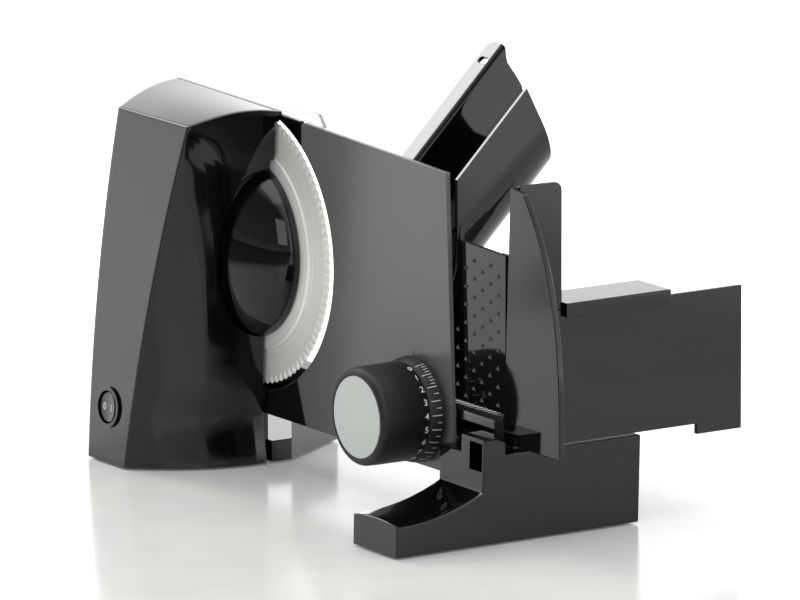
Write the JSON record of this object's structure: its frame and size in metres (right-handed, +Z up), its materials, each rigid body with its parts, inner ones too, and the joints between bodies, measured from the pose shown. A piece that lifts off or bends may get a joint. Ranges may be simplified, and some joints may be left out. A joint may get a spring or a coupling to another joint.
{
  "type": "electric food slicer",
  "caption": "Household electric slicer: motor tower with round blade, sliding food carriage with thumb guard and chute, and a stop plate moved by a thickness knob.",
  "frame": {"origin": "on the table under the blade's axis, in the plane of the blade's edge, at the bottom of the middle foot pad", "axes": "+X along the carriage slide towards the operator, +Y to the food side, -Y to the side where slices fall, +Z up"},
  "size_m": [0.4133, 0.2399, 0.2658],
  "materials": {
    "gloss_black_plastic": "polished black plastic",
    "satin_black_plastic": "satin black plastic",
    "matte_black_plastic": "fine matt black plastic",
    "silver_grey_plastic": "silver grey moulded plastic",
    "clear_plastic": "clear moulded plastic",
    "gear_nylon": "natural nylon",
    "polished_steel": "ground stainless steel",
    "drawn_aluminium": "drawn aluminium",
    "zinc_plated_steel": "bright zinc plate",
    "sintered_bronze": "oiled sintered bronze",
    "black_rubber": "black rubber",
    "lacquered_iron": "lacquered iron laminations"
  },
  "bodies": {
    "frame": {"motor_housing": "gloss_black_plastic", "base_cover": "matte_black_plastic", "back_wall": "gloss_black_plastic", "cord_inlet": "black_rubber", "finger_guard": "clear_plastic", "base_leg": "gloss_black_plastic", "hub_dome": "gloss_black_plastic", "axle_bush": "sintered_bronze", "gear_bracket": "zinc_plated_steel", "motor_can": "zinc_plated_steel", "motor_cap_lower": "zinc_plated_steel", "motor_cap_upper": "zinc_plated_steel", "motor_cradle": "matte_black_plastic", "run_capacitor": "silver_grey_plastic", "switch_bezel": "gloss_black_plastic", "bridge": "drawn_aluminium", "cam_pin": "polished_steel", "guide_rail": "polished_steel", "foot_block": "gloss_black_plastic", "foot_pad_1": "black_rubber", "foot_pad_2": "black_rubber", "foot_pad_3": "black_rubber", "foot_pad_4": "black_rubber", "foot_pad_5": "black_rubber", "foot_pad_6": "black_rubber"},
    "blade_unit": {"blade": "polished_steel", "blade_hub": "gear_nylon", "worm_wheel": "gear_nylon", "blade_axle": "polished_steel"},
    "lock": {"blade_lock": "satin_black_plastic"},
    "motor_rotor": {"motor_shaft": "polished_steel", "rotor": "lacquered_iron", "motor_fan": "satin_black_plastic"},
    "switch_rocker": {"rocker": "satin_black_plastic"},
    "gauge_plate": {"stop_plate": "gloss_black_plastic", "plate_bracket": "zinc_plated_steel", "guide_rod_1": "polished_steel", "guide_rod_2": "polished_steel", "knob_axle": "polished_steel"},
    "thickness_knob": {"knob": "matte_black_plastic", "dial_ring": "satin_black_plastic", "knob_cap": "silver_grey_plastic"},
    "carriage": {"carriage_floor": "satin_black_plastic", "carriage_wall": "gloss_black_plastic", "thumb_guard": "gloss_black_plastic", "finger_panel": "gloss_black_plastic", "slide_shoe_1": "gear_nylon", "slide_shoe_2": "gear_nylon"},
    "holder": {"press_plate": "gloss_black_plastic", "holder_saddle": "gloss_black_plastic", "holder_arm": "satin_black_plastic", "chute": "gloss_black_plastic"}
  },
  "joints": [
    {"name": "blade_spin", "type": "hinge", "parent": "frame", "child": "blade_unit", "pos_m": [0, 0, 0.1302], "axis": [0, 1, 0], "continuous": true},
    {"name": "motor_spin", "type": "hinge", "parent": "frame", "child": "motor_rotor", "pos_m": [-0.029, -0.0213, 0.08], "axis": [0, 0, 1], "continuous": true},
    {"name": "blade_lock_turn", "type": "hinge", "parent": "blade_unit", "child": "lock", "pos_m": [0, 0, 0.1302], "axis": [0, 1, 0], "range_deg": [0, 90]},
    {"name": "switch_rock", "type": "hinge", "parent": "frame", "child": "switch_rocker", "pos_m": [-0.0416, -0.07525, 0.0341], "axis": [0, 0.0803, 0.9968], "range_deg": [0, 11]},
    {"name": "stop_plate_slide", "type": "slide", "parent": "frame", "child": "gauge_plate", "axis": [0, -1, 0], "range_m": [0, 0.015]},
    {"name": "knob_turn", "type": "hinge", "parent": "gauge_plate", "child": "thickness_knob", "pos_m": [0.1756, 0, 0.0636], "axis": [0, -1, 0], "range_deg": [0, 240]},
    {"name": "carriage_slide", "type": "slide", "parent": "frame", "child": "carriage", "axis": [-1, 0, 0], "range_m": [0, 0.2]},
    {"name": "holder_slide", "type": "slide", "parent": "carriage", "child": "holder", "axis": [0, 1, 0], "range_m": [0, 0.045]}
  ],
  "couplings": [
    {"joint": "motor_spin", "follows": "blade_spin", "ratio": -22},
    {"joint": "knob_turn", "follows": "stop_plate_slide", "rad_per_m": 279.25}
  ]
}
